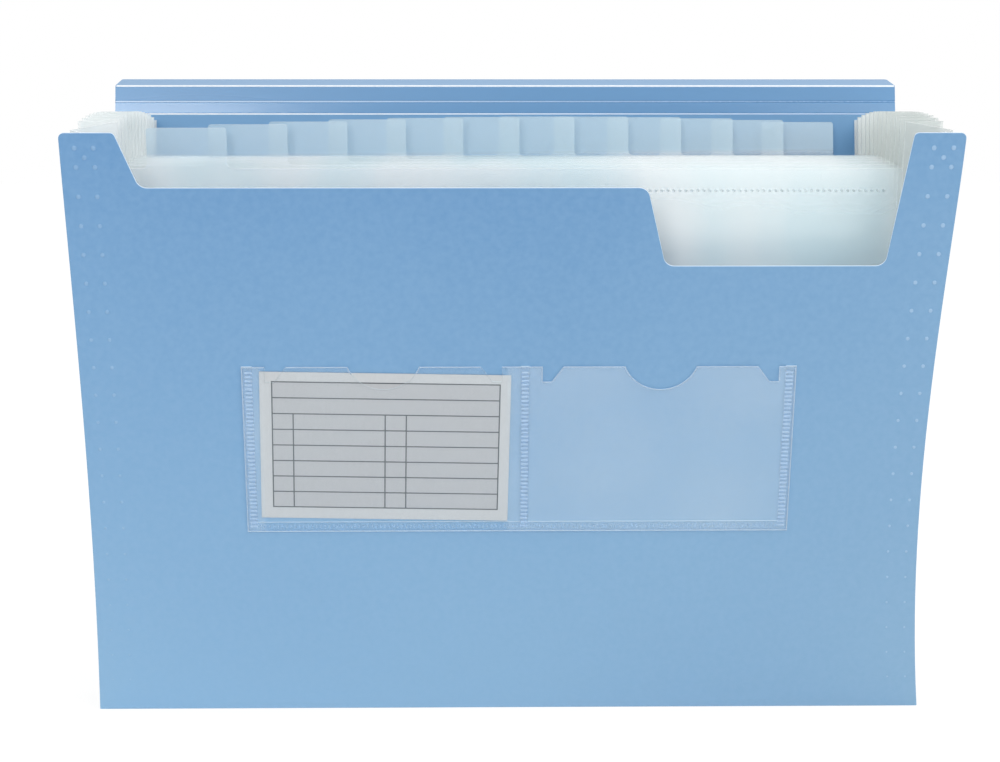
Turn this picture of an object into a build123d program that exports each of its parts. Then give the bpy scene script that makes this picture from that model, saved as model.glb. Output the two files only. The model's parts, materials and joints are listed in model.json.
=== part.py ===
from build123d import *
import math
import os

# An expanding file of polypropylene sheet, standing open as a fan of pockets.
# X runs from left to right, the front panel faces -Y and Z is up. Lengths are
# in millimetres and angles in degrees. The origin lies on the floor, under the
# middle of the whole file.

# Cover panels
panel_width = 330.0
panel_height = 241.5
panel_thickness = 0.8
panel_corner_radius = 2.2

# Cut-out along the top edge of the front panel: two ears, a long notch and a
# deeper window on the right
left_ear_width = 20.0
right_ear_width = 19.0
ear_radius = 1.8
notch_depth = 21.0
notch_slope_run = 8.2
notch_radius = 4.0
window_depth = 51.6
window_width = 81.8
window_slope_run = 7.4

# Fan: sheet 0 is the front panel, the dividers follow, the last is the back.
# The front pocket stands open wider than the others.
pocket_count = 13
pocket_pitch = 2.3
front_lean_angle = 16.4
front_pocket_angle = 6.0
pocket_angle = 1.72

# Dividers, each with one tab, the tabs stepped from left to right
divider_thickness = 0.3
divider_floor_gap = 0.6
divider_corner_radius = 1.5
tab_width = 30.0
tab_height = 15.5
tab_top_drop = 4.5
tab_margin = 11.0
tab_radius = 1.2
tab_root_radius = 2.0

# Side pleats, one folded leaf pair a pocket
pleat_depth = 17.0
pleat_thickness = 0.3
pleat_edge_margin = 2.0
pleat_lap = 2.0
pleat_gap = 0.05
pleat_floor_gap = 1.0
pleat_top_drop = 2.5

# Bottom of each pocket
web_thickness = 0.3
web_floor_gap = 0.1
web_gap = 0.1
web_end_margin = 2.0

# Creased upper end of the back sheet: two narrow strips, a spine and the flap
lower_strip_width = 5.3
upper_strip_width = 6.6
spine_width = 20.0
flap_length = 90.0
flap_corner_radius = 8.0
crease_bevel = 0.5
crease_gap = 0.05
spine_fold_angle = 72.0
flap_fold_angle = 98.0

# Clear card sleeve on the front panel: one film over two pockets
sleeve_width = 210.3
sleeve_height = 69.6
sleeve_bottom = 80.2
sleeve_offset = 2.7
sleeve_depth = 0.6
film_thickness = 0.2
side_weld_width = 4.0
middle_weld_width = 3.1
middle_weld_offset = 2.3
mouth_notch_depth = 6.2
mouth_notch_width = 3.4
mouth_notch_slope = 4.5
mouth_notch_reach = 41.4
thumb_width = 27.0
thumb_depth = 9.4

# Paper card in the left pocket of the sleeve
card_thickness = 0.3
card_left_gap = 2.2
card_right_gap = 4.3
card_bottom_gap = 0.4
card_top_gap = 2.0
card_tilt = 1.05

overrun = 5.0

divider_count = pocket_count - 1
back_sheet = pocket_count
divider_width = panel_width - 2 * pleat_depth
tab_top = panel_height - tab_top_drop
shoulder = tab_top - tab_height


def opening(pocket):
    """Angle between the two sheets of a pocket."""
    return front_pocket_angle if pocket == 1 else pocket_angle


def lean(sheet):
    """Forward lean of a sheet of the fan, from upright."""
    return front_lean_angle - sum(opening(pocket) for pocket in range(1, sheet + 1))


def foot(sheet):
    """Place of a sheet's bottom edge along Y."""
    return (sheet - pocket_count / 2) * pocket_pitch


def half_thickness(sheet):
    """Half the thickness of a cover panel or a divider."""
    if sheet in (0, back_sheet):
        return panel_thickness / 2
    return divider_thickness / 2


def stand(shape, sheet):
    """Lean an upright sheet, made about the XZ plane, into its place in the fan."""
    return Pos(0, foot(sheet), 0) * Rot(lean(sheet), 0, 0) * shape


def cut_sheet(points, radii, thickness):
    """Cut an upright sheet from its outline, with a radius for every corner."""
    outline = make_face(FilletPolyline(*points, radius=radii, close=True))
    return extrude(Plane.XZ * outline, amount=thickness / 2, both=True)


def above_floor(shape):
    """Trim a leaning panel level with the floor, so that it stands on a flat edge."""
    room = Box(
        panel_width + overrun,
        panel_height * 2,
        panel_height * 2,
        align=(Align.CENTER, Align.CENTER, Align.MIN),
    )
    return shape & room


def front_panel():
    """Front panel with its two ears, the long notch and the deeper window."""
    side = panel_width / 2
    left_ear = -side + left_ear_width
    right_ear = side - right_ear_width
    notch_floor = panel_height - notch_depth
    window_floor = panel_height - window_depth
    window_right = right_ear - window_slope_run
    window_left = window_right - window_width
    corners = [
        (-side, -overrun, 0),
        (side, -overrun, 0),
        (side, panel_height, panel_corner_radius),
        (right_ear, panel_height, ear_radius),
        (window_right, window_floor, notch_radius),
        (window_left, window_floor, notch_radius),
        (window_left - window_slope_run, notch_floor, notch_radius),
        (left_ear + notch_slope_run, notch_floor, notch_radius),
        (left_ear, panel_height, ear_radius),
        (-side, panel_height, panel_corner_radius),
    ]
    points = [(x, height) for x, height, radius in corners]
    radii = [radius for x, height, radius in corners]
    return above_floor(stand(cut_sheet(points, radii, panel_thickness), 0))


def divider(number):
    """One divider with its tab. The first tab stands at the left."""
    side = divider_width / 2
    tab_room = divider_width - 2 * tab_margin - tab_width
    tab_left = -side + tab_margin + tab_room * (number - 1) / (divider_count - 1)
    tab_right = tab_left + tab_width
    corners = [
        (-side, divider_floor_gap, 0),
        (side, divider_floor_gap, 0),
        (side, shoulder, divider_corner_radius),
        (tab_right, shoulder, tab_root_radius),
        (tab_right, tab_top, tab_radius),
        (tab_left, tab_top, tab_radius),
        (tab_left, shoulder, tab_root_radius),
        (-side, shoulder, divider_corner_radius),
    ]
    points = [(x, height) for x, height, radius in corners]
    radii = [radius for x, height, radius in corners]
    return stand(cut_sheet(points, radii, divider_thickness), number)


def pleat_section(pocket, height, hand):
    """Cross-section of a pocket's side pleat, a V that points outwards."""
    spread = pocket_pitch / 2 + height * math.tan(math.radians(opening(pocket) / 2))
    front = -spread + half_thickness(pocket - 1) + pleat_gap
    back = spread - half_thickness(pocket) - pleat_gap
    inner = hand * (divider_width / 2 - pleat_lap)
    outer = hand * (panel_width / 2 - pleat_edge_margin)
    points = [
        (inner, front, height),
        (outer, -pleat_thickness, height),
        (outer, pleat_thickness, height),
        (inner, back, height),
        (inner, back - pleat_thickness, height),
        (outer - hand * pleat_thickness, 0, height),
        (inner, front + pleat_thickness, height),
    ]
    return Wire(Polyline(*points, close=True).edges())


def side_pleat(pocket, hand):
    """Side pleat of a pocket, narrow at the floor and wide at the mouth."""
    bottom = pleat_section(pocket, pleat_floor_gap, hand)
    top = pleat_section(pocket, panel_height - pleat_top_drop, hand)
    leaf_pair = Solid.make_loft([bottom, top], ruled=True)
    middle = Pos(0, (foot(pocket - 1) + foot(pocket)) / 2, 0)
    return middle * Rot((lean(pocket - 1) + lean(pocket)) / 2, 0, 0) * leaf_pair


def web_end(sheet, towards):
    """Where a pocket's bottom meets a sheet: at a panel's face, or under a divider."""
    setback = web_gap
    if sheet in (0, back_sheet):
        setback += panel_thickness / 2 / math.cos(math.radians(lean(sheet)))
    return foot(sheet) + towards * setback


def bottom_web(pocket):
    """Flat strip that closes the bottom of a pocket."""
    front = web_end(pocket - 1, 1)
    back = web_end(pocket, -1)
    strip = Box(panel_width - 2 * web_end_margin, back - front, web_thickness)
    return Pos(0, (front + back) / 2, web_floor_gap + web_thickness / 2) * strip


def creased_strip(length, start_creased, end_creased):
    """Strip of the back sheet along Z, thinned to a line at each creased end."""
    half = panel_thickness / 2
    low = crease_gap if start_creased else -overrun
    high = length - crease_gap if end_creased else length
    low_bevel = crease_bevel if start_creased else 0
    high_bevel = crease_bevel if end_creased else 0
    outline = [(half, low + low_bevel), (half, high - high_bevel)]
    if end_creased:
        outline.append((0, high))
    outline.append((-half, high - high_bevel))
    outline.append((-half, low + low_bevel))
    if start_creased:
        outline.append((0, low))
    profile = make_face(Polyline(*outline, close=True))
    return extrude(Plane.YZ * profile, amount=panel_width / 2, both=True)


def back_panel():
    """Back panel, plain, with its first crease along the top."""
    return above_floor(stand(creased_strip(panel_height, False, True), back_sheet))


def cover_flap_flat():
    """Cover flap along Z from its crease, with the corners of its free end rounded."""
    side = panel_width / 2
    points = [(-side, 0), (side, 0), (side, flap_length), (-side, flap_length)]
    radii = [0, 0, flap_corner_radius, flap_corner_radius]
    return creased_strip(flap_length, True, False) & cut_sheet(points, radii, panel_thickness)


def back_strips():
    """Strips above the back panel, from crease to crease, with the place of each crease."""
    strips = [
        ("hinge_strip_lower", lower_strip_width, 0),
        ("hinge_strip_upper", upper_strip_width, 0),
        ("spine_strip", spine_width, spine_fold_angle),
        ("cover_flap", flap_length, flap_fold_angle),
    ]
    tilt = lean(back_sheet)
    y = foot(back_sheet) - panel_height * math.sin(math.radians(tilt))
    z = panel_height * math.cos(math.radians(tilt))
    made = []
    for name, length, fold in strips:
        tilt -= fold
        flat = cover_flap_flat() if name == "cover_flap" else creased_strip(length, True, True)
        made.append((name, Pos(0, y, z) * Rot(tilt, 0, 0) * flat, y, z))
        y -= length * math.sin(math.radians(tilt))
        z += length * math.cos(math.radians(tilt))
    return made


def mouth_cuts(centre):
    """Cuts along the mouth of a sleeve pocket: a thumb notch and a small notch each side."""
    top = sleeve_bottom + sleeve_height
    radius = (thumb_width**2 / 4 + thumb_depth**2) / (2 * thumb_depth)
    thumb = Pos(centre, top - thumb_depth + radius) * Circle(radius)
    cuts = [thumb]
    for hand in (-1, 1):
        inner = centre + hand * mouth_notch_reach
        outer = inner + hand * mouth_notch_width
        slope = inner - hand * mouth_notch_slope
        corners = [
            (slope, top),
            (inner, top - mouth_notch_depth),
            (outer, top - mouth_notch_depth),
            (outer, top + overrun),
            (slope, top + overrun),
        ]
        cuts.append(make_face(Polyline(*corners, close=True)))
    return cuts


def card_sleeve():
    """Clear film welded to the front panel along its sides, middle and bottom."""
    left = sleeve_offset - sleeve_width / 2
    right = sleeve_offset + sleeve_width / 2
    middle = sleeve_offset + middle_weld_offset
    top = sleeve_bottom + sleeve_height
    film = Pos((left + right) / 2, sleeve_bottom + sleeve_height / 2) * Rectangle(
        sleeve_width, sleeve_height
    )
    for centre in ((left + middle) / 2, (middle + right) / 2):
        for cut in mouth_cuts(centre):
            film -= cut
    welds = [
        (left, left + side_weld_width, sleeve_bottom, top),
        (middle - middle_weld_width / 2, middle + middle_weld_width / 2, sleeve_bottom, top),
        (right - side_weld_width, right, sleeve_bottom, top),
        (left, right, sleeve_bottom, sleeve_bottom + side_weld_width),
    ]
    face = -panel_thickness / 2
    film_face = Plane.XZ.offset(sleeve_depth - face)
    sleeve = extrude(film_face * film, amount=film_thickness)
    for x_low, x_high, z_low, z_high in welds:
        bar = Pos((x_low + x_high) / 2, (z_low + z_high) / 2) * Rectangle(
            x_high - x_low, z_high - z_low
        )
        sleeve += extrude(Plane.XZ.offset(-face) * bar, amount=sleeve_depth)
    return stand(sleeve, 0)


def index_card():
    """Paper card in the left pocket, standing a little askew on the bottom weld."""
    left = sleeve_offset - sleeve_width / 2 + side_weld_width + card_left_gap
    right = sleeve_offset + middle_weld_offset - middle_weld_width / 2 - card_right_gap
    tilt = math.radians(card_tilt)
    width = right - left
    dip = width / 2 * math.sin(tilt)
    bottom = sleeve_bottom + side_weld_width + card_bottom_gap
    height = sleeve_bottom + sleeve_height - card_top_gap - bottom - 2 * dip
    card = Rot(0, card_tilt, 0) * Box(width, card_thickness, height)
    face = -panel_thickness / 2 - sleeve_depth / 2
    return stand(Pos((left + right) / 2, face, bottom + dip + height / 2) * card, 0)


pieces = {"front_panel": front_panel(), "back_panel": back_panel()}
for number in range(1, divider_count + 1):
    pieces[f"divider_{number:02d}"] = divider(number)
for pocket in range(1, pocket_count + 1):
    pieces[f"gusset_left_{pocket:02d}"] = side_pleat(pocket, -1)
    pieces[f"gusset_right_{pocket:02d}"] = side_pleat(pocket, 1)
    pieces[f"bottom_web_{pocket:02d}"] = bottom_web(pocket)
creases = []
for name, strip, y, z in back_strips():
    pieces[name] = strip
    creases.append((name, y, z))
pieces["card_sleeve"] = card_sleeve()
pieces["index_card"] = index_card()

# The origin goes under the middle of the whole file
boxes = [shape.bounding_box() for shape in pieces.values()]
middle_y = (min(box.min.Y for box in boxes) + max(box.max.Y for box in boxes)) / 2

os.makedirs("parts", exist_ok=True)
for name, shape in pieces.items():
    export_step(Pos(0, -middle_y, 0) * shape, f"parts/{name}.step")

print("middle", round(middle_y, 4))
for pocket in range(1, pocket_count + 1):
    axis_y = (foot(pocket - 1) + foot(pocket)) / 2 - middle_y
    print("fan", pocket, round(axis_y, 4), 0.0)
for name, y, z in creases:
    print("crease", name, round(y - middle_y, 4), round(z, 4))
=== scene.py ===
# %% [markdown]
# # An accordion file in blue and milky plastic
# The file stands open as a fan. Two blue panels hold thirteen pockets between
# them, the pockets are parted by milky dividers with stepped tabs, and pleated
# strips close the sides. The solids come in as a fixed frame, in metres, and
# this lesson dresses them: it keeps the flat sheets, gives them a finish, and
# models what a flat solid can't show, such as folds, welds and rounded edges.

# %% Load the frame
import json
import math

import bmesh
import bpy
from mathutils import Matrix, Vector


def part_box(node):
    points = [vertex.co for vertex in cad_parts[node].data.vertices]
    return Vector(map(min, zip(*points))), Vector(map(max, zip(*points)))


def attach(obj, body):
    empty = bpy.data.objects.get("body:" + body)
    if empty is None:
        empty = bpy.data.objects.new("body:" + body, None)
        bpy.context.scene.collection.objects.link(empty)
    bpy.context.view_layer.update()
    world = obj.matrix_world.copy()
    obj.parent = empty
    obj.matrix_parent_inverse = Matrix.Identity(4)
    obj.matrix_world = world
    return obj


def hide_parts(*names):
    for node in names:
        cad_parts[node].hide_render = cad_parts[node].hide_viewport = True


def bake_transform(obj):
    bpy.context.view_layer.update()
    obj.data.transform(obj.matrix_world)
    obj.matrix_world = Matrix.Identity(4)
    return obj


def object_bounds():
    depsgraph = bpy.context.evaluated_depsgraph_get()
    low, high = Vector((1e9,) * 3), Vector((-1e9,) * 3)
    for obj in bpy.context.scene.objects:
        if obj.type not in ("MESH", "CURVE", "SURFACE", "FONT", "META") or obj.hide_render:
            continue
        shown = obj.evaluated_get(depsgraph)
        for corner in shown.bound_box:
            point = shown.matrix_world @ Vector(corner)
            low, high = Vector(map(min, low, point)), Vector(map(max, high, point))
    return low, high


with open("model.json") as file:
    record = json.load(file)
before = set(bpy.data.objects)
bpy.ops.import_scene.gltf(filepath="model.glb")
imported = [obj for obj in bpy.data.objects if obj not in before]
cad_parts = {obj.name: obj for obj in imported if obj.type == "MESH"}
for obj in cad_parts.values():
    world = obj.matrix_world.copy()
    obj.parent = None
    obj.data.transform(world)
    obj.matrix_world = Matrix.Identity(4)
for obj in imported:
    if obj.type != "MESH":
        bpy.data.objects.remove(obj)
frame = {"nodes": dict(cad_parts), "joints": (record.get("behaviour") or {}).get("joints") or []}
cad_low, cad_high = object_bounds()
print("frame", len(frame["nodes"]), "nodes, box", [round(v, 4) for v in cad_high - cad_low])

# %% [markdown]
# Everything on this object is a sheet that leans about its bottom edge, so one
# matrix for each sheet of the fan places all the details. The hinges in the
# frame give the feet of the sheets, the closing limit of a hinge gives the
# angle of its pocket, and the card slides up the front panel, so its direction
# gives that panel's lean. No angle is typed twice.

# %% Read the fan
MM = 0.001
joints = {joint["name"]: joint for joint in frame["joints"]}
fan = [joints[name] for name in sorted(joints) if name.startswith("fan_")]
pocket_count = len(fan)
opening = [math.radians(-joint["range_deg"][0]) for joint in fan]
panel_up = Vector(joints["card_slide"]["axis"])
front_lean = math.atan2(-panel_up.y, panel_up.z)
hinge_y = [joint["pos_m"][1] for joint in fan]
pitch = hinge_y[1] - hinge_y[0]
sheet_names = ["front_panel"]
sheet_names += [f"divider_{number:02d}" for number in range(1, pocket_count)]
sheet_names += ["back_panel"]


def lean(sheet):
    """Forward lean of a sheet; half numbers lie midway between two sheets."""
    whole = int(sheet)
    part = (sheet - whole) * opening[min(whole, pocket_count - 1)]
    return front_lean - sum(opening[:whole]) - part


def foot(sheet):
    """Where a sheet of the fan meets the floor."""
    return hinge_y[0] + (sheet - 0.5) * pitch


def sheet_matrix(sheet):
    """From a sheet's own x, depth and height to its place in the fan."""
    return Matrix.Translation((0, foot(sheet), 0)) @ Matrix.Rotation(lean(sheet), 4, "X")


leans = [round(math.degrees(lean(sheet)), 1) for sheet in range(pocket_count + 1)]
print("fan of", pocket_count, "pockets, leaning", leans)

# %% [markdown]
# Colours are picked as screen values from 0 to 255, while a shader works in
# linear light, so one helper converts them. Another starts a node material and
# hands back what the next cells need to wire it.

# %% Colour and material helpers
def screen(red, green, blue):
    """Linear colour of a screen colour."""
    linear = []
    for value in (red, green, blue):
        share = value / 255
        linear.append(share / 12.92 if share <= 0.04045 else ((share + 0.055) / 1.055) ** 2.4)
    return (*linear, 1.0)


def start_finish(name, colour, roughness, specular=0.5):
    """A principled material with its constants on the shader's own sockets."""
    material = bpy.data.materials.new(name)
    material.use_nodes = True
    shader = material.node_tree.nodes["Principled BSDF"]
    shader.inputs["Base Color"].default_value = colour
    shader.inputs["Roughness"].default_value = roughness
    shader.inputs["Specular IOR Level"].default_value = specular
    return material, shader


# %% [markdown]
# A finish changes from place to place on a real sheet: it drifts, has a grain
# and pales at an edge. In a node tree that takes a place on the piece, noise,
# and nodes that stretch and mix values. Each helper below adds one such step
# and wires it, so that a finish further down reads like a recipe.

# %% Node helpers
def add_node(material, kind, **values):
    """A node with its sockets or properties set by name."""
    node = material.node_tree.nodes.new(kind)
    for key, value in values.items():
        socket = key.replace("_", " ")
        if socket in node.inputs:
            node.inputs[socket].default_value = value
        else:
            setattr(node, key, value)
    return node


def wire(material, start, end):
    """A link from an output socket to an input socket."""
    material.node_tree.links.new(start, end)


def along_axis(material, letter, space="Object"):
    """One coordinate of a place on a piece, or of its normal."""
    place = add_node(material, "ShaderNodeTexCoord")
    split = add_node(material, "ShaderNodeSeparateXYZ")
    wire(material, place.outputs[space], split.inputs["Vector"])
    return split.outputs[letter]


def noise(material, scale, detail=2.0, stretch=(1, 1, 1), shift=(0, 0, 0)):
    """Noise on Object coordinates, which may be stretched along an axis and shifted."""
    place = add_node(material, "ShaderNodeTexCoord")
    mapping = add_node(material, "ShaderNodeMapping", Scale=stretch, Location=shift)
    texture = add_node(material, "ShaderNodeTexNoise", Scale=scale, Detail=detail)
    wire(material, place.outputs["Object"], mapping.inputs["Vector"])
    wire(material, mapping.outputs["Vector"], texture.inputs["Vector"])
    return texture.outputs["Fac"]


def mix_colours(material, factor, first, second):
    """A colour between two colours, each a constant or a socket."""
    node = add_node(material, "ShaderNodeMix", data_type="RGBA")
    wire(material, factor, node.inputs["Factor"])
    for socket, colour in (("A", first), ("B", second)):
        target = [s for s in node.inputs if s.name == socket and s.type == "RGBA"][0]
        if isinstance(colour, tuple):
            target.default_value = colour
        else:
            wire(material, colour, target)
    return [s for s in node.outputs if s.type == "RGBA"][0]


def spread(material, value, low, high, low_out=0.0, high_out=1.0):
    """A value stretched from one range to another, and clamped."""
    node = add_node(material, "ShaderNodeMapRange")
    node.inputs["From Min"].default_value = low
    node.inputs["From Max"].default_value = high
    node.inputs["To Min"].default_value = low_out
    node.inputs["To Max"].default_value = high_out
    wire(material, value, node.inputs["Value"])
    return node.outputs["Result"]


def add_bump(material, shader, height, distance, strength=1.0):
    """Relief on a shader, in metres."""
    bump = add_node(material, "ShaderNodeBump", Strength=strength, Distance=distance)
    wire(material, height, bump.inputs["Height"])
    wire(material, bump.outputs["Normal"], shader.inputs["Normal"])


# %% [markdown]
# The front panel is extruded polypropylene with a fine leathery grain. Its
# blue carries painted light and shade: it is deepest at the top left, greyer at
# the right and pales towards the foot, as the light falls on it. Where the sheet
# was cut, the plastic shows almost white, and a painted highlight adds to that,
# so the edges have a finish of their own. A picture could carry all this, but
# nodes stay sharp at any distance: gradients on the height and the width carry
# the painted light and shade, slow noise lets the tones drift, and fine noise
# makes the grain.

# %% Front panel finishes
drift_range = (0.35, 0.65)
grain_range = (0.3, 0.7)
grain_share = 0.1
grain_relief = 0.05 * MM
cover_roughness = (0.42, 0.56)


def cover_finish(name, paleness):
    """Blue sheet with a fine grain, a slow drift of tone and painted light and shade, paler where it was
    pressed.
    """
    material, shader = start_finish(name, screen(124, 168, 210), roughness=0.48, specular=0.4)
    rise = spread(material, along_axis(material, "Z"), 0.0, cad_high.z)
    along = spread(material, along_axis(material, "X"), cad_low.x, cad_high.x)
    drift = spread(material, noise(material, scale=5.0, detail=1.0), *drift_range)
    fine = noise(material, scale=420.0, detail=3.0)
    # The ramps from foot to top and from left to right are painted light and shade, not the sheet's own
    # blue.
    left_foot_painted_light = mix_colours(material, drift, screen(140, 181, 213), screen(148, 188, 217))
    right_foot_painted_light = mix_colours(material, drift, screen(127, 165, 196), screen(135, 172, 200))
    left_top_painted_shade = mix_colours(material, drift, screen(83, 132, 180), screen(94, 141, 186))
    right_top_painted_shade = mix_colours(material, drift, screen(96, 142, 184), screen(107, 150, 189))
    foot_painted_light = mix_colours(material, along, left_foot_painted_light, right_foot_painted_light)
    top_painted_shade = mix_colours(material, along, left_top_painted_shade, right_top_painted_shade)
    tone = mix_colours(material, rise, foot_painted_light, top_painted_shade)
    grain = spread(material, fine, *grain_range, paleness, paleness + grain_share)
    speck = mix_colours(material, grain, tone, screen(168, 196, 222))
    wire(material, speck, shader.inputs["Base Color"])
    wire(material, spread(material, fine, *grain_range, *cover_roughness), shader.inputs["Roughness"])
    add_bump(material, shader, fine, grain_relief, strength=0.35)
    return material


def cut_edge_highlight_finish(name, dark, pale):
    """Pale cut edge of a sheet: partly whitened plastic, partly a painted highlight where the edge catches
    the light.
    """
    material, shader = start_finish(name, pale, roughness=0.4)
    tone = mix_colours(material, noise(material, scale=260.0), dark, pale)
    wire(material, tone, shader.inputs["Base Color"])
    return material


cover_blue = cover_finish("cover_blue_sheet", paleness=0.0)
# The pale rim colour is partly the cut plastic and partly a painted highlight.
cover_edge_highlight = cut_edge_highlight_finish("cover_cut_edge_highlight", screen(200, 220, 242), screen(228, 240, 250))
print("finishes", cover_blue.name, cover_edge_highlight.name)

# %% [markdown]
# The back sheet is the same plastic with a smoother face, and its strips shine
# where they catch the light. Noise that is stretched along X gives it long
# streaks, and the streaks carry the tone and the roughness together; the pale
# streaks in the tone are painted reflections. One function makes all four
# finishes, from the glossy lower strip to the dull panel and spine, and their
# blues are one plastic painted lighter or darker as painted light and shade.

# %% Back sheet finishes
glossy = {"smooth": 0.14, "rough": 0.26, "specular": 0.6}
half_glossy = {"smooth": 0.24, "rough": 0.36, "specular": 0.45}
dull = {"smooth": 0.4, "rough": 0.5, "specular": 0.3}
back_relief = 0.6 * MM


def back_finish(name, dark, pale, smooth, rough, specular):
    """Blue of the creased back sheet, with long streaks of painted reflection."""
    material, shader = start_finish(name, pale, rough, specular)
    streak = noise(material, scale=9.0, stretch=(0.25, 3.0, 3.0))
    tone = mix_colours(material, spread(material, streak, *grain_range), dark, pale)
    wire(material, tone, shader.inputs["Base Color"])
    wire(material, spread(material, streak, *grain_range, smooth, rough), shader.inputs["Roughness"])
    wave = noise(material, scale=14.0, detail=1.0, stretch=(0.3, 2.0, 2.0))
    add_bump(material, shader, wave, back_relief, strength=0.25)
    return material


# These four blues are lit and shaded copies of one plastic: painted light and shade, palest on the spine.
back_blue = back_finish("back_blue_sheet", screen(90, 141, 187), screen(106, 152, 194), **glossy)
panel_blue = back_finish("back_panel_sheet", screen(104, 150, 191), screen(118, 160, 197), **dull)
upper_blue = back_finish("upper_strip_sheet", screen(88, 139, 185), screen(104, 150, 192), **half_glossy)
spine_blue = back_finish("spine_blue_sheet", screen(119, 161, 202), screen(131, 171, 208), **dull)
print("finishes", back_blue.name, upper_blue.name, panel_blue.name, spine_blue.name)

# %% [markdown]
# The dividers and pleats are thin, uncoloured sheet. One layer lets most of
# the light through, and several layers add up to a cool white. A share of
# see-through on each face gives that for as many layers as there are, and the
# colour itself is nearly white, because light bounces many times between the
# layers and takes on their colour at each bounce. A cut edge carries light to
# its rim, so faces that stand across the sheet are denser; the normal in the
# piece's own space finds them.

# %% Milky sheet
cloud_range = (0.38, 0.62)
# On the dividers these clouds are partly the sheet's own uneven milkiness and partly painted reflection
# patches, shifted to lie in the window.
cloud_shift = (-70 * MM, 0, 0)
rim_turn = (0.45, 0.6)
# The white of the cut rims is a painted highlight, the light that the rims catch.
rim_white = screen(254, 255, 255)
rim_veil = 0.8
milky_relief = 4 * MM


def mix_values(material, factor, first, second):
    """A number between two numbers, each a constant or a socket."""
    node = add_node(material, "ShaderNodeMix", data_type="FLOAT")
    wire(material, factor, node.inputs["Factor"])
    for socket, value in (("A", first), ("B", second)):
        if isinstance(value, float):
            node.inputs[socket].default_value = value
        else:
            wire(material, value, node.inputs[socket])
    return node.outputs["Result"]


def calculate(material, operation, *values):
    """The result of a sum, product or the like; each value is a constant or a socket."""
    node = add_node(material, "ShaderNodeMath", operation=operation)
    for target, value in zip(node.inputs, values):
        if isinstance(value, float):
            target.default_value = value
        else:
            wire(material, value, target)
    return node.outputs["Value"]


def across_sheet(material):
    """0 on the cut rims of an upright sheet and 1 on its faces."""
    depth = calculate(material, "ABSOLUTE", along_axis(material, "Y", "Normal"))
    return spread(material, depth, *rim_turn)


def patches(material):
    """Slow clouds across a sheet, from 0 to 1."""
    cloud = noise(material, scale=12.0, detail=1.5, stretch=(2.4, 1.0, 1.0), shift=cloud_shift)
    return spread(material, cloud, *cloud_range)


def close_milky(material, shader, tone, veil, wave):
    """Wire a milky sheet's tone and veil, with a cut rim painted whiter and denser as a highlight."""
    face = across_sheet(material)
    wire(material, mix_colours(material, face, rim_white, tone), shader.inputs["Base Color"])
    wire(material, mix_values(material, face, rim_veil, veil), shader.inputs["Alpha"])
    add_bump(material, shader, noise(material, scale=13.0, detail=1.0), milky_relief, wave)


# %% [markdown]
# The pleats at the right are painted a little greyer than those at the left:
# painted shade, as less light falls on them. The dividers are made denser below
# their hems, which paints the shaded depth of a pocket paler, and their tabs are
# denser and greyer, so that two tabs show little more than one. Ramps on the
# height find both places, so that one finish serves all the dividers. Light has
# to pass many layers, so it may bounce more often than usual.

# %% Milky finishes
pleat_veil = (0.42, 0.5)
sheet_veil = (0.16, 0.19)
shade_paling_heights = (172 * MM, 219 * MM)
shade_paling_veil = 0.32
tab_heights = (221 * MM, 223.5 * MM)
tab_tone = screen(199, 221, 233)
tab_veil = 0.46
layers_passed = 64
bounces_between = 12


def pleat_finish(name, dark, pale):
    """Milky strip of the side pleats."""
    material, shader = start_finish(name, pale, roughness=0.3)
    cloud = patches(material)
    tone = mix_colours(material, cloud, dark, pale)
    close_milky(material, shader, tone, spread(material, cloud, 0.0, 1.0, *pleat_veil), wave=0.25)
    return material


def divider_finish(dark, pale):
    """Milky sheet of the dividers: denser below the hem, which paints the pocket's shade paler, and denser
    and greyer on the tabs.
    """
    material, shader = start_finish("divider_milky_sheet", pale, roughness=0.2, specular=1.0)
    height = along_axis(material, "Z")
    cloud = patches(material)
    sheet_tone = mix_colours(material, cloud, dark, pale)
    thin = spread(material, cloud, 0.0, 1.0, *sheet_veil)
    # Denser sheet below the hem paints the shade in the depth of the pocket paler.
    low = spread(material, height, *shade_paling_heights, shade_paling_veil, 0.0)
    tab = spread(material, height, *tab_heights)
    tone = mix_colours(material, tab, sheet_tone, tab_tone)
    veil = mix_values(material, tab, calculate(material, "ADD", thin, low), tab_veil)
    close_milky(material, shader, tone, veil, wave=0.5)
    return material


divider_milky = divider_finish(screen(237, 251, 254), screen(252, 255, 255))
# The two sides are one plastic; the right one is painted greyer as shade.
pleat_milky = {
    -1: pleat_finish("left_pleat_milky_lit", screen(236, 243, 244), screen(248, 251, 251)),
    1: pleat_finish("right_pleat_milky_shaded", screen(213, 221, 220), screen(227, 232, 230)),
}
pleat_rim_highlight = cut_edge_highlight_finish("pleat_cut_rim_highlight", screen(246, 250, 250), screen(254, 255, 255))
bpy.context.scene.cycles.transparent_max_bounces = layers_passed
bpy.context.scene.cycles.diffuse_bounces = bounces_between
print("finishes", divider_milky.name, *[finish.name for finish in pleat_milky.values()])

# %% [markdown]
# A piece leaves its bmesh here: the normals are made to point outwards, the
# mesh gets its finish, and the object stays at the origin with its place in
# its mesh, as the sheets of the frame do. A second helper draws a flat outline
# with rounded corners: a vertex bevel makes the arc, so the outline needs only
# its corner points.

# %% Leave a bmesh as a piece
corner_segments = 6


def leave(name, bm, materials):
    """Turn a bmesh into a finished object."""
    bmesh.ops.recalc_face_normals(bm, faces=bm.faces[:])
    mesh = bpy.data.meshes.new(name)
    bm.to_mesh(mesh)
    bm.free()
    for material in materials:
        mesh.materials.append(material)
    piece = bpy.data.objects.new(name, mesh)
    bpy.context.scene.collection.objects.link(piece)
    return piece


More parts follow.
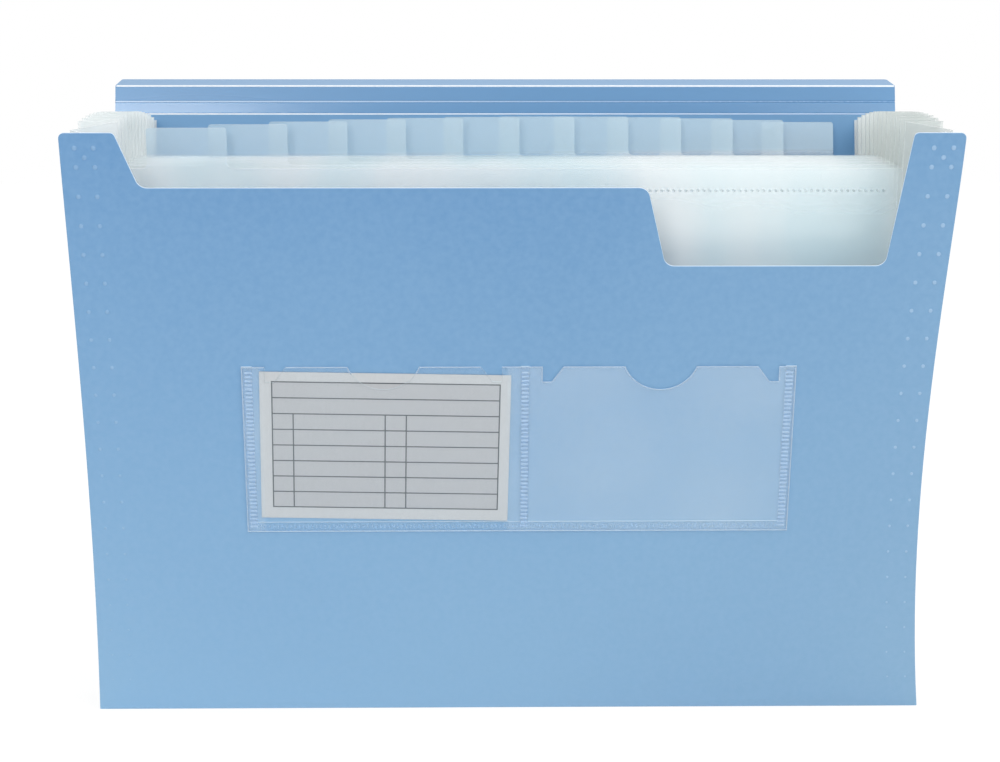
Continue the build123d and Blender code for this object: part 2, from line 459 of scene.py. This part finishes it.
def rounded_face(bm, corners):
    """A face in the XZ plane from corners of x, height and radius, rounded by bevels."""
    verts = [bm.verts.new((x, 0, height)) for x, height, radius in corners]
    bm.faces.new(verts)
    count = len(corners)
    for number, (x, height, radius) in enumerate(corners):
        if radius == 0:
            continue
        here = Vector((x, height))
        before = Vector(corners[number - 1][:2]) - here
        after = Vector(corners[(number + 1) % count][:2]) - here
        reach = radius / math.tan(before.angle(after) / 2)
        bmesh.ops.bevel(
            bm, geom=[verts[number]], offset=reach, offset_type="OFFSET", affect="VERTICES",
            segments=corner_segments, profile=0.5, material=-1,
        )


# %% [markdown]
# The front panel is one flat blank: two ears, a long notch and a deeper window
# on the right. In the photograph its side edges are drawn in below half height,
# where the pleats pull on them, and the right one more than the left. A formula
# gives that pull, because the pleats and the weld spots follow it too.

# %% Sizes of the front panel
panel_width = 330 * MM
panel_height = 241.5 * MM
panel_thickness = 0.8 * MM
left_ear_width = 20 * MM
right_ear_width = 19 * MM
notch_depth = 21 * MM
notch_run = 8.2 * MM
window_depth = 51.6 * MM
window_width = 81.8 * MM
window_run = 7.4 * MM
panel_corner = 2.2 * MM
ear_corner = 1.8 * MM
notch_corner = 4 * MM
side = panel_width / 2
edge_pulls = {-1: 1.8 * MM, 1: 5.7 * MM}
deepest_pull = 0.42


def drawn_in(hand, height):
    """How far the left (-1) or right (1) edge is drawn in at a height."""
    share = min(max(height / panel_height, 0), 1)
    fall = 1 / deepest_pull - 1
    curve = share * (1 - share) ** fall
    return edge_pulls[hand] * curve / (deepest_pull * (1 - deepest_pull) ** fall)


print("front panel", panel_width, "by", panel_height, "m")

# %% [markdown]
# The outline is drawn at once, as one face. Cutting the notch and the window
# out with a boolean would work too, but it leaves thin faces along the cuts.
# Level cuts give the side edges points to move, an extrusion thickens the
# blank, and its rim takes the pale cut finish with its painted highlight and a
# fine bevel that catches the light.

# %% Front panel
level_cuts = 24
edge_zone = 3 * MM
face_turn = 0.5
sharp_angle = math.radians(40)
rim_bevel = 0.28 * MM


def front_panel_blank():
    """The panel about its own foot, before it leans into the fan."""
    left_ear = -side + left_ear_width
    right_ear = side - right_ear_width
    notch = panel_height - notch_depth
    window = panel_height - window_depth
    right = right_ear - window_run
    left = right - window_width
    corners = [
        (-side, 0, 0),
        (side, 0, 0),
        (side, panel_height, panel_corner),
        (right_ear, panel_height, ear_corner),
        (right, window, notch_corner),
        (left, window, notch_corner),
        (left - window_run, notch, notch_corner),
        (left_ear + notch_run, notch, notch_corner),
        (left_ear, panel_height, ear_corner),
        (-side, panel_height, panel_corner),
    ]
    bm = bmesh.new()
    rounded_face(bm, corners)
    for step in range(1, level_cuts):
        geometry = bm.verts[:] + bm.edges[:] + bm.faces[:]
        height = panel_height * step / level_cuts
        bmesh.ops.bisect_plane(bm, geom=geometry, plane_co=(0, 0, height), plane_no=(0, 0, 1))
    for vert in bm.verts:
        if abs(vert.co.x) > side - edge_zone:
            hand = 1 if vert.co.x > 0 else -1
            vert.co.x -= hand * drawn_in(hand, vert.co.z)
    bmesh.ops.translate(bm, verts=bm.verts[:], vec=(0, -panel_thickness / 2, 0))
    grown = bmesh.ops.extrude_face_region(bm, geom=bm.faces[:])["geom"]
    back = [item for item in grown if isinstance(item, bmesh.types.BMVert)]
    bmesh.ops.translate(bm, verts=back, vec=(0, panel_thickness, 0))
    bmesh.ops.recalc_face_normals(bm, faces=bm.faces[:])
    for face in bm.faces:
        face.material_index = 0 if abs(face.normal.y) > face_turn else 1
    rim = [edge for edge in bm.edges if edge.calc_face_angle(0) > sharp_angle]
    bmesh.ops.bevel(
        bm, geom=rim, offset=rim_bevel, offset_type="OFFSET", affect="EDGES", segments=2,
        profile=0.5, material=-1,
    )
    bmesh.ops.transform(bm, matrix=sheet_matrix(0), verts=bm.verts[:])
    floor_lift = -min(vert.co.z for vert in bm.verts)
    bmesh.ops.translate(bm, verts=bm.verts[:], vec=(0, 0, max(floor_lift, 0)))
    return bm


front = leave("front_panel_sheet", front_panel_blank(), [cover_blue, cover_edge_highlight])
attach(front, "front_panel")
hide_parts("front_panel")
print(front.name, len(front.data.polygons), "faces")

# %% [markdown]
# The side pleats are one folded strip on each side. Each pocket has a V whose
# fold points outwards and whose two leaves end on the neighbouring sheets. A
# bent plane with a Solidify modifier could make it, but then the sharp fold
# gets the wrong thickness. So the outline of a V is drawn as one closed ring
# just above the floor and extruded upwards level by level, and each new ring is
# opened as far as the pocket is at that height.

# %% Side pleats
pleat_depth = 17 * MM
pleat_lap = 0.5 * MM
pleat_margin = 2 * MM
pleat_thickness = 0.3 * MM
pleat_bottom = 1 * MM
pleat_top_gap = 2.5 * MM
pleat_top = panel_height - pleat_top_gap
pleat_levels = 12
seat_gap = 0.75 * MM
pull_fade = 9
cut_edge_turn = 0.9


def half_gap(pocket, height):
    """Half the room between the two sheets of a pocket at a height."""
    return pitch / 2 + height * math.tan(opening[pocket - 1] / 2) - seat_gap


def pleat_ring(pocket, hand, height):
    """The closed outline of a folded pleat at a height, outside and then inside."""
    inner = side - pleat_depth - pleat_lap
    reach = side - pleat_margin - inner
    pull = drawn_in(hand, height) * max(1 - (pocket - 1) / pull_fade, 0)
    wall = pleat_thickness / 2
    seat = half_gap(pocket, height)
    inner_fold = 1 - 2 * wall / (seat + wall)
    ring = [
        (0, -seat - wall),
        (1, 0),
        (0, seat + wall),
        (0, seat - wall),
        (inner_fold, 0),
        (0, wall - seat),
    ]
    return [(hand * (inner + reach * x - pull * x * x), depth, height) for x, depth in ring]


def pleat(pocket, hand):
    """One folded pleat in place."""
    rise = (pleat_top - pleat_bottom) / pleat_levels
    bm = bmesh.new()
    cap = bm.faces.new([bm.verts.new(point) for point in pleat_ring(pocket, hand, pleat_bottom)])
    for level in range(1, pleat_levels + 1):
        grown = bmesh.ops.extrude_face_region(bm, geom=[cap])["geom"]
        if level > 1:
            bmesh.ops.delete(bm, geom=[cap], context="FACES_ONLY")
        cap = [item for item in grown if isinstance(item, bmesh.types.BMFace)][0]
        for vert, point in zip(cap.verts, pleat_ring(pocket, hand, pleat_bottom + level * rise)):
            vert.co = point
    bm.normal_update()
    for face in bm.faces:
        face.smooth = len(face.verts) == 4 and abs(face.normal.x) < cut_edge_turn
        face.material_index = 0 if face.smooth else 1
    for edge in bm.edges:
        edge.smooth = edge.calc_face_angle(0) < sharp_angle
    bmesh.ops.transform(bm, matrix=sheet_matrix(pocket - 0.5), verts=bm.verts[:])
    word = "left" if hand < 0 else "right"
    piece = leave(f"pleat_{word}_{pocket:02d}", bm, [pleat_milky[hand], pleat_rim_highlight])
    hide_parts(f"gusset_{word}_{pocket:02d}")
    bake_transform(piece)
    return piece


pleats = [pleat(pocket, hand) for pocket in range(1, pocket_count + 1) for hand in (-1, 1)]
print(len(pleats), "pleats,", sum(len(piece.data.polygons) for piece in pleats), "faces")

# %% [markdown]
# The flat dividers and the pocket bottoms stay as they are in the frame and
# only take the milky finish. The creased back sheet stays too. Its lower strip
# and its flap are glossy, and the others are duller.

# %% Dress the sheets of the frame
def dress(node, material):
    """Give a node of the frame one finish."""
    mesh = frame["nodes"][node].data
    mesh.materials.clear()
    mesh.materials.append(material)


for name in sheet_names[1:-1]:
    dress(name, divider_milky)
for pocket in range(1, pocket_count + 1):
    dress(f"bottom_web_{pocket:02d}", pleat_milky[1])
for name in ("hinge_strip_lower", "cover_flap"):
    dress(name, back_blue)
dress("hinge_strip_upper", upper_blue)
dress("back_panel", panel_blue)
dress("spine_strip", spine_blue)
print("dressed", pocket_count - 1, "dividers,", pocket_count, "pocket bottoms and the back sheet")

# %% [markdown]
# Clear film and paper come next. The film is a very thin gloss layer that
# shows mostly at its edges and welds. Where it lies flat on the card it is
# clearer, and a ramp on the distance from the card's middle finds that place.
# The card is plain uncoated paper.

# %% Sleeve and card finishes
card_centre = (-48.55 * MM, 116.2 * MM)
card_size = (95.4 * MM, 61.45 * MM)
cling_zone = 1.5 * MM
cling_share = 0.35
film_haze = (0.095, 0.15)
film_rim_veil = 0.9
film_relief = 1 * MM
fibre_relief = 0.03 * MM


def beside_card(material):
    """A share of haze that rises from the card's side edges outwards."""
    away = calculate(material, "SUBTRACT", along_axis(material, "X"), card_centre[0])
    distance = calculate(material, "ABSOLUTE", away)
    half = card_size[0] / 2
    return spread(material, distance, half - cling_zone, half, cling_share, 1.0)


def film_finish():
    """Clear welded film."""
    material, shader = start_finish("sleeve_clear_film", screen(232, 248, 255), roughness=0.14)
    haze = spread(material, noise(material, scale=22.0), *grain_range, *film_haze)
    veil = calculate(material, "MULTIPLY", haze, beside_card(material))
    cover = mix_values(material, across_sheet(material), film_rim_veil, veil)
    wire(material, cover, shader.inputs["Alpha"])
    add_bump(material, shader, noise(material, scale=18.0, detail=1.0), film_relief, strength=0.3)
    return material


def paper_finish(name, dark, pale):
    """Grey-white uncoated paper with a faint fibre."""
    material, shader = start_finish(name, pale, roughness=0.85, specular=0.25)
    fibre = noise(material, scale=900.0, detail=3.0, stretch=(1.0, 1.0, 0.3))
    wire(material, mix_colours(material, fibre, dark, pale), shader.inputs["Base Color"])
    add_bump(material, shader, fibre, fibre_relief, strength=0.4)
    return material


sleeve_film = film_finish()
card_paper = paper_finish("card_plain_paper", screen(187, 190, 192), screen(196, 199, 201))
dress("card_sleeve", sleeve_film)
dress("index_card", card_paper)
print("finishes", sleeve_film.name, card_paper.name)

# %% [markdown]
# Plastic sheet that has been pressed, welded or folded turns pale, because tiny
# cracks in it scatter the light. The weld spots are the panel's own finish with
# more of its pale grain, fainter at the left. A mottled pale finish serves the
# ticks along the sleeve and the hems, and a darker one the hollows that the
# welding tool leaves between its ticks; that darker tone is painted shade.

# %% Pressed plastic finishes
mottle_scale = 700.0


def mottle(material, most=1.0):
    """Fine mottle of stressed plastic, from 0 to the share given."""
    return spread(material, noise(material, mottle_scale), *drift_range, 0.0, most)


def pressed_finish(name, dark, pale, roughness, see_through):
    """Pressed plastic with a fine mottle."""
    material, shader = start_finish(name, pale, roughness)
    wire(material, mix_colours(material, mottle(material), dark, pale), shader.inputs["Base Color"])
    shader.inputs["Alpha"].default_value = 1.0 - see_through
    return material


ridge = {"roughness": 0.3, "see_through": 0.6}
hollow = {"roughness": 0.45, "see_through": 0.82}
near_hem = {"roughness": 0.4, "see_through": 0.4}
far_hem = {"roughness": 0.4, "see_through": 0.85}
weld_pale = cover_finish("weld_pale", paleness=0.5)
weld_faint = cover_finish("weld_faint", paleness=0.25)
tick_pale = pressed_finish("sleeve_tick_pale", screen(188, 216, 242), screen(200, 225, 248), **ridge)
# The hollows are built as low pads, so their darker tone is painted shade.
tick_hollow_shade = pressed_finish("sleeve_tick_hollow_shade", screen(166, 200, 231), screen(174, 206, 235), **hollow)
hem_grey = pressed_finish("divider_weld_grey", screen(200, 212, 217), screen(220, 230, 234), **near_hem)
hem_faint = pressed_finish("divider_weld_faint", screen(214, 225, 230), screen(226, 235, 239), **far_hem)
print("finishes", weld_pale.name, weld_faint.name, tick_pale.name, tick_hollow_shade.name)
print("finishes", hem_grey.name, hem_faint.name)

# %% [markdown]
# The pleated strip is spot-welded to the front panel in two columns near each
# side edge, with a five-spot at the top. A bump texture could draw them, but a
# mesh lets them follow the edges that are drawn in. A spot is a ball pressed
# flat, one loop runs down the columns, and the spots get smaller towards the
# floor, as the welds do on the real panel.

# %% Weld spots on the front panel
spot_radius = 1.0 * MM
spot_rise = 0.12 * MM
smallest_spot = 0.4
spot_columns = {-1: (5.6 * MM, 12.5 * MM), 1: (4.3 * MM, 11.5 * MM)}
spot_top_row = 235.8 * MM
spot_second_row = 228.5 * MM
spot_row_step = 11.3 * MM
spot_lowest_row = 12 * MM


def weld_spot(bm, x, height):
    """One pressed spot on the front face of the panel, fainter on the left."""
    size = smallest_spot + (1 - smallest_spot) * height / panel_height
    made = bmesh.ops.create_uvsphere(bm, u_segments=10, v_segments=6, radius=1)["verts"]
    bmesh.ops.scale(bm, verts=made, vec=(spot_radius * size, spot_rise * size, spot_radius * size))
    bmesh.ops.translate(bm, verts=made, vec=(x, -panel_thickness / 2, height))
    for face in {face for vert in made for face in vert.link_faces}:
        face.material_index = 1 if x < 0 else 0


def weld_spots():
    """All the spots of the front panel."""
    rows = [spot_top_row]
    height = spot_second_row
    while height > spot_lowest_row:
        rows.append(height)
        height -= spot_row_step
    bm = bmesh.new()
    for hand in (-1, 1):
        for height in rows:
            edge = side - drawn_in(hand, height)
            for column in spot_columns[hand]:
                weld_spot(bm, hand * (edge - column), height)
        middle = (spot_top_row + spot_second_row) / 2
        weld_spot(bm, hand * (side - sum(spot_columns[hand]) / 2), middle)
    bmesh.ops.transform(bm, matrix=sheet_matrix(0), verts=bm.verts[:])
    for face in bm.faces:
        face.smooth = True
    return bm


spots = leave("front_panel_weld_spots", weld_spots(), [weld_pale, weld_faint])
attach(spots, "front_panel")
print(spots.name, len(spots.data.polygons), "faces")

# %% [markdown]
# The clear sleeve is welded by a toothed bar, which leaves a ladder of ticks at
# each side and down the middle, and a row of short ticks along the bottom. One
# tick is a block whose front is drawn together, so that its flanks slope and
# catch the light. Pale ridges and hollows painted darker as shade take turns.

# %% Ticks of the sleeve
sleeve_left = -102.45 * MM
sleeve_right = 107.85 * MM
sleeve_bottom = 80.2 * MM
sleeve_top = 149.8 * MM
sleeve_middle = 5.0 * MM
film_front = 1.2 * MM
ladder_inset = 2.65 * MM
ladder_margin = 2.4 * MM
tick_pitch = 1.66 * MM
tick_rise = 0.035 * MM
tick_taper = (0.75, 1, 0.55)
ridge_size = (2.8 * MM, 0.85 * MM)
hollow_size = (2.4 * MM, 0.6 * MM)
bottom_row = 2.3 * MM
bottom_size = (0.75 * MM, 1.5 * MM)


def tick(bm, place, size, front, kind, slant=0.0):
    """A low pad on the front of a sheet, at x and height, with sloping flanks."""
    made = bmesh.ops.create_cube(bm, size=1)["verts"]
    bmesh.ops.scale(bm, verts=[vert for vert in made if vert.co.y < 0], vec=tick_taper)
    bmesh.ops.scale(bm, verts=made, vec=(size[0], 2 * tick_rise, size[1]))
    bmesh.ops.rotate(bm, verts=made, cent=(0, 0, 0), matrix=Matrix.Rotation(slant, 3, "Y"))
    bmesh.ops.translate(bm, verts=made, vec=(place[0], -front, place[1]))
    for face in {face for vert in made for face in vert.link_faces}:
        face.material_index = kind


def sleeve_ticks():
    """Ladders at the sides and the middle, and the row along the bottom."""
    bm = bmesh.new()
    low = sleeve_bottom + ladder_margin
    rungs = int((sleeve_top - ladder_margin - low) / tick_pitch)
    for x in (sleeve_left + ladder_inset, sleeve_middle, sleeve_right - ladder_inset):
        for rung in range(rungs + 1):
            height = low + rung * tick_pitch
            tick(bm, (x, height), ridge_size, film_front, kind=0)
            if rung < rungs:
                tick(bm, (x, height + tick_pitch / 2), hollow_size, film_front, kind=1)
    start = sleeve_left + 2 * ladder_inset
    across = int((sleeve_right - 2 * ladder_inset - start) / tick_pitch)
    for step in range(across + 1):
        place = (start + step * tick_pitch, sleeve_bottom + bottom_row)
        # The short ticks along the bottom take the hollow finish with its painted shade.
        tick(bm, place, bottom_size, film_front, kind=1)
    bmesh.ops.transform(bm, matrix=sheet_matrix(0), verts=bm.verts[:])
    return bm


ticks = leave("sleeve_weld_ticks", sleeve_ticks(), [tick_pale, tick_hollow_shade])
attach(ticks, "front_panel")
print(ticks.name, len(ticks.data.polygons), "faces")

# %% [markdown]
# The card has a printed table: a faintly tinted ground with a frame, eight
# rows, and three upright rules that start below the two header rows. Ground
# and rules are thin plates that lie on the paper, so they stay sharp in any
# view and slide out with the card.

# %% Rules printed on the card
card_front = 0.85 * MM
card_turn = math.radians(1.05)
rule_inset = 4.4 * MM
table_shift = (0.3 * MM, 0.4 * MM)
rule_width = 0.5 * MM
rule_rise = 0.02 * MM
ground_rise = 0.01 * MM
row_count = 8
header_rows = 2
column_shares = (0.092, 0.497, 0.590)


def printed(bm, start, end, width, rise, kind):
    """A printed line or area from one point to another, about the card's centre."""
    run = Vector(end) - Vector(start)
    middle = (Vector(start) + Vector(end)) / 2
    made = bmesh.ops.create_cube(bm, size=1)["verts"]
    bmesh.ops.scale(bm, verts=made, vec=(abs(run.x) + width, 2 * rise, abs(run.y) + width))
    bmesh.ops.translate(bm, verts=made, vec=(middle.x, 0, middle.y))
    for face in {face for vert in made for face in vert.link_faces}:
        face.material_index = kind


def rule(bm, start, end):
    """A printed line."""
    printed(bm, start, end, rule_width, rule_rise, kind=0)


def card_rules():
    """The printed table."""
    half = card_size[0] / 2 - rule_inset
    top = card_size[1] / 2 - rule_inset
    row = 2 * top / row_count
    bm = bmesh.new()
    printed(bm, (-half, -top), (half, top), 0, ground_rise, kind=1)
    for line in range(row_count + 1):
        rule(bm, (-half, top - line * row), (half, top - line * row))
    for x in (-half, half):
        rule(bm, (x, -top), (x, top))
    for share in column_shares:
        x = -half + 2 * half * share
        rule(bm, (x, -top), (x, top - header_rows * row))
    bmesh.ops.translate(bm, verts=bm.verts[:], vec=(table_shift[0], 0, table_shift[1]))
    seat = Matrix.Translation((card_centre[0], -card_front, card_centre[1]))
    turn = Matrix.Rotation(card_turn, 4, "Y")
    bmesh.ops.transform(bm, matrix=sheet_matrix(0) @ seat @ turn, verts=bm.verts[:])
    return bm


def ink_finish():
    """Soft grey printing ink."""
    material, shader = start_finish("card_rule_ink", screen(104, 109, 113), roughness=0.8, specular=0.2)
    tone = mix_colours(material, noise(material, scale=1500.0), screen(80, 85, 89), screen(104, 109, 112))
    wire(material, tone, shader.inputs["Base Color"])
    return material


table_tint = paper_finish("card_table_tint", screen(173, 175, 178), screen(181, 183, 186))
rules = leave("index_card_rules", card_rules(), [ink_finish(), table_tint])
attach(rules, "index_card")
print(rules.name, len(rules.data.polygons), "faces")

# %% [markdown]
# The film was cut hot, which leaves a pale bead along its edges and its mouth.
# The front faces of the sleeve are copied from the frame, inset a little, and
# only the ring that the inset makes is kept and thickened. On the blue panel
# the bead shows, and on the pale card it is lost, so it is clearer there.

# %% Bead around the sleeve
bead_width = 0.45 * MM
bead_height = 0.05 * MM
front_turn = 0.9
merge_distance = 0.01 * MM
on_panel = {"roughness": 0.25, "see_through": 0.58}
on_card = {"roughness": 0.25, "see_through": 0.96}


def sleeve_bead():
    """A narrow raised ring along the outline of the front film."""
    bm = bmesh.new()
    bm.from_mesh(frame["nodes"]["card_sleeve"].data)
    bmesh.ops.transform(bm, matrix=sheet_matrix(0).inverted(), verts=bm.verts[:])
    bm.normal_update()
    depth = min(vert.co.y for vert in bm.verts)
    kept = {
        face for face in bm.faces
        if face.normal.y < -front_turn and face.calc_center_median().y < depth + bead_height
    }
    others = [face for face in bm.faces if face not in kept]
    bmesh.ops.delete(bm, geom=others, context="FACES")
    bmesh.ops.remove_doubles(bm, verts=bm.verts[:], dist=merge_distance)
    inside = bm.faces[:]
    bmesh.ops.inset_region(bm, faces=inside, thickness=bead_width, use_boundary=True, use_even_offset=True)
    bmesh.ops.delete(bm, geom=inside, context="FACES")
    grown = bmesh.ops.extrude_face_region(bm, geom=bm.faces[:])["geom"]
    raised = [item for item in grown if isinstance(item, bmesh.types.BMVert)]
    bmesh.ops.translate(bm, verts=raised, vec=(0, -bead_height, 0))
    for face in bm.faces:
        middle = face.calc_center_median()
        beside = abs(middle.x - card_centre[0]) > card_size[0] / 2
        above = abs(middle.z - card_centre[1]) > card_size[1] / 2
        face.material_index = 0 if beside or above else 1
    bmesh.ops.transform(bm, matrix=sheet_matrix(0), verts=bm.verts[:])
    return bm


bead_pale = pressed_finish("sleeve_bead_pale", screen(186, 207, 226), screen(200, 217, 232), **on_panel)
bead_clear = pressed_finish("sleeve_bead_clear", screen(200, 210, 216), screen(208, 217, 222), **on_card)
bead_ring = leave("sleeve_bead", sleeve_bead(), [bead_pale, bead_clear])
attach(bead_ring, "front_panel")
print(bead_ring.name, len(bead_ring.data.polygons), "faces")

# %% [markdown]
# Each divider has a hem below its shoulder, held by one row of slanted weld
# spots. The row is the same on every divider, so one function makes it upright
# and the sheet's matrix leans it into place. Milky sheet blurs what lies behind
# it, so the rows behind the first divider are much fainter.

# %% Hem welds of the dividers
hem_height = 213.0 * MM
hem_end = 143.0 * MM
hem_pitch = 2.27 * MM
hem_size = (1.15 * MM, 0.95 * MM)
hem_slant = math.radians(25)
divider_front = 0.15 * MM


def hem_welds(number):
    """The weld row of one divider."""
    bm = bmesh.new()
    count = int(2 * hem_end / hem_pitch)
    for step in range(count + 1):
        x = -hem_end + step * hem_pitch
        tick(bm, (x, hem_height), hem_size, divider_front, kind=0, slant=hem_slant)
    bmesh.ops.transform(bm, matrix=sheet_matrix(number), verts=bm.verts[:])
    name = sheet_names[number]
    finish = hem_grey if number == 1 else hem_faint
    piece = leave(f"{name}_hem_welds", bm, [finish])
    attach(piece, name)
    return piece


hems = [hem_welds(number) for number in range(1, pocket_count)]
print(len(hems), "hems,", sum(len(piece.data.polygons) for piece in hems), "faces")

# %% [markdown]
# The back sheet is creased along three lines and bent along a fourth. A crease
# is thinned plastic that has gone white, a round bead in the groove between
# two strips. On the two lower creases the white is partly a painted highlight,
# which fades towards the right, so their finish runs along X.

# %% Creases of the back sheet
crease_chain = ["back_panel", "hinge_strip_lower", "hinge_strip_upper", "spine_strip", "cover_flap"]
crease_joints = ["crease_lower", "crease_middle", "crease_spine", "crease_flap"]
crease_radius = 0.44 * MM
bend_radius = 0.42 * MM
bead_end_gap = 0.3 * MM
bead_rounding = 0.4
bead_rim_angle = math.radians(60)
quarter_turn = math.radians(90)


def crease_bead(number, radius, material):
    """The bead of one crease, along X, between two strips."""
    parent, child = crease_chain[number], crease_chain[number + 1]
    axis = Vector(joints[crease_joints[number]]["pos_m"])
    bm = bmesh.new()
    bmesh.ops.create_cone(
        bm, cap_ends=True, segments=16, radius1=radius, radius2=radius,
        depth=panel_width - 2 * bead_end_gap, matrix=Matrix.Rotation(quarter_turn, 4, "Y"),
    )
    rims = [edge for edge in bm.edges if edge.calc_face_angle(0) > bead_rim_angle]
    bmesh.ops.bevel(
        bm, geom=rims, offset=radius * bead_rounding, offset_type="OFFSET", affect="EDGES", segments=3,
        profile=0.5, material=-1,
    )
    bmesh.ops.translate(bm, verts=bm.verts[:], vec=axis)
    for face in bm.faces:
        face.smooth = True
    piece = leave(f"{crease_joints[number]}_bead", bm, [material])
    low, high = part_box(child)
    away = (low + high) / 2 - axis
    away.x = 0
    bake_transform(piece)
    return piece


def crease_finish(name, left, right):
    """Stressed plastic that changes from one tone to another along the crease; on the lower creases the
    change is a painted highlight fading to the right.
    """
    material, shader = start_finish(name, left, roughness=0.3)
    along = spread(material, along_axis(material, "X"), cad_low.x, cad_high.x)
    tone = mix_colours(material, along, left, right)
    speck = mix_colours(material, mottle(material, most=0.25), tone, screen(190, 214, 240))
    wire(material, speck, shader.inputs["Base Color"])
    return material


# The lower and middle creases are whitened plastic with a painted highlight that fades towards the right.
lower_white = crease_finish("crease_lower_white_highlight", screen(250, 253, 255), screen(170, 199, 231))
middle_pale = crease_finish("crease_middle_pale_highlight", screen(205, 223, 243), screen(96, 146, 192))
spine_white = crease_finish("crease_spine_white", screen(250, 253, 255), screen(246, 250, 255))
bead_sizes = (crease_radius, crease_radius, crease_radius, bend_radius)
bead_finishes = (lower_white, middle_pale, spine_white, back_blue)
beads = [crease_bead(number, *made) for number, made in enumerate(zip(bead_sizes, bead_finishes))]
print(len(beads), "creases,", sum(len(piece.data.polygons) for piece in beads), "faces")

# %% [markdown]
# The file stands on a plain white floor. A brighter lamp would bleach the file
# along with the floor, so the white is a glow that shows only to the camera, in
# gloss and through film. Part of the floor's material stays an ordinary matt
# surface, which takes a faint shadow.

# %% White floor
shadow_share = 0.28
white_level = 1.15
matt_white = (0.92, 0.92, 0.92, 1)
floor_reach = 6.0
floor_gap = 0.2 * MM


def seen_rays(tree):
    """1 for rays that show the background: straight, mirrored or through film."""
    nodes = tree.nodes
    rays = nodes.new("ShaderNodeLightPath")
    total = rays.outputs["Is Camera Ray"]
    for kind in ("Is Glossy Ray", "Is Transmission Ray"):
        add = nodes.new("ShaderNodeMath")
        add.operation = "ADD"
        add.use_clamp = True
        tree.links.new(total, add.inputs[0])
        tree.links.new(rays.outputs[kind], add.inputs[1])
        total = add.outputs[0]
    return total


def floor_finish():
    """White floor that keeps a soft shadow."""
    material = bpy.data.materials.new("stage_white")
    material.use_nodes = True
    tree = material.node_tree
    tree.nodes.remove(tree.nodes["Principled BSDF"])
    diffuse = add_node(material, "ShaderNodeBsdfDiffuse", Color=matt_white)
    white = add_node(material, "ShaderNodeEmission", Strength=white_level)
    share = spread(material, seen_rays(tree), 0.0, 1.0, 0.0, 1.0 - shadow_share)
    blend = add_node(material, "ShaderNodeMixShader")
    wire(material, share, blend.inputs["Fac"])
    wire(material, diffuse.outputs["BSDF"], blend.inputs[1])
    wire(material, white.outputs["Emission"], blend.inputs[2])
    wire(material, blend.outputs["Shader"], tree.nodes["Material Output"].inputs["Surface"])
    return material


def stage_floor():
    """One large square just below the file."""
    bm = bmesh.new()
    bmesh.ops.create_grid(bm, x_segments=1, y_segments=1, size=floor_reach)
    mesh = bpy.data.meshes.new("stage_floor")
    bm.to_mesh(mesh)
    bm.free()
    mesh.materials.append(floor_finish())
    square = bpy.data.objects.new("stage_floor", mesh)
    square.location.z = cad_low.z - floor_gap
    bpy.context.scene.collection.objects.link(square)
    return square


floor = stage_floor()
print(floor.name, "reaches", floor_reach, "m each way")

# %% [markdown]
# An even white sky lights the file from all sides, as a room with pale walls
# does. Where the sky itself is seen it is pure white, and the light that it
# gives is a little weaker, so that colours stay near their written values.

# %% Sky
sky_light = 0.72
sky_white = 1.0

world = bpy.data.worlds.new("studio")
world.use_nodes = True
sky = world.node_tree.nodes["Background"]
sky.inputs["Color"].default_value = (1, 1, 1, 1)
level = world.node_tree.nodes.new("ShaderNodeMapRange")
level.inputs["To Min"].default_value = sky_light
level.inputs["To Max"].default_value = sky_white
world.node_tree.links.new(seen_rays(world.node_tree), level.inputs["Value"])
world.node_tree.links.new(level.outputs["Result"], sky.inputs["Strength"])
bpy.context.scene.world = world
print("sky gives", sky_light, "and shows", sky_white)

# %% [markdown]
# Three area lights give the file its form. The key light stands at the right
# front, a weaker one hangs over the pockets, and a narrow one at the left front
# puts the pale streak on the glossy back strips. They are large beside the file,
# so shadows stay soft.

# %% Lights
lights = {
    "key_light": {"place": (0.8, -1.3, 1.3), "size": (1.2, 1.2), "watts": 9.5},
    "top_light": {"place": (0.9, 0.15, 1.5), "size": (1.6, 1.0), "watts": 4},
    "streak_light": {"place": (-0.5, -2.0, 0.72), "size": (0.42, 0.6), "watts": 9},
}
centre = (cad_low + cad_high) / 2


def soft_light(name, place, size, watts):
    """A large area light that looks at the middle of the file."""
    lamp = bpy.data.lights.new(name, "AREA")
    lamp.shape = "RECTANGLE"
    lamp.size, lamp.size_y = size
    lamp.energy = watts
    holder = bpy.data.objects.new(name, lamp)
    holder.location = place
    holder.rotation_euler = (centre - Vector(place)).to_track_quat("-Z", "Y").to_euler()
    bpy.context.scene.collection.objects.link(holder)


for name, values in lights.items():
    soft_light(name, **values)
print(len(lights), "lights")

# %% [markdown]
# The camera was worked out from corners that are easy to find in the picture:
# the feet and tops of the front panel and the ends of the creases behind. They
# fix the place, the tilt, a slight turn and the focal length. The sensor is as
# wide as the picture, so the lens follows from the picture's width.

# %% Camera
picture_width = 1000
focal_pixels = 2304
sensor_width = 36
camera_place = Vector((-19.1, -921.8, 242.5)) * MM
camera_tilt = math.radians(6.89)
camera_turn = math.radians(0.96)

eye = bpy.data.cameras.new("photo_camera")
eye.sensor_width = sensor_width
eye.lens = sensor_width * focal_pixels / picture_width
camera = bpy.data.objects.new("photo_camera", eye)
camera.location = camera_place
camera.rotation_euler = (quarter_turn - camera_tilt, 0, -camera_turn)
bpy.context.scene.collection.objects.link(camera)
bpy.context.scene.camera = camera
bpy.context.scene.view_settings.view_transform = "Standard"
print("lens", round(eye.lens, 2), "mm")
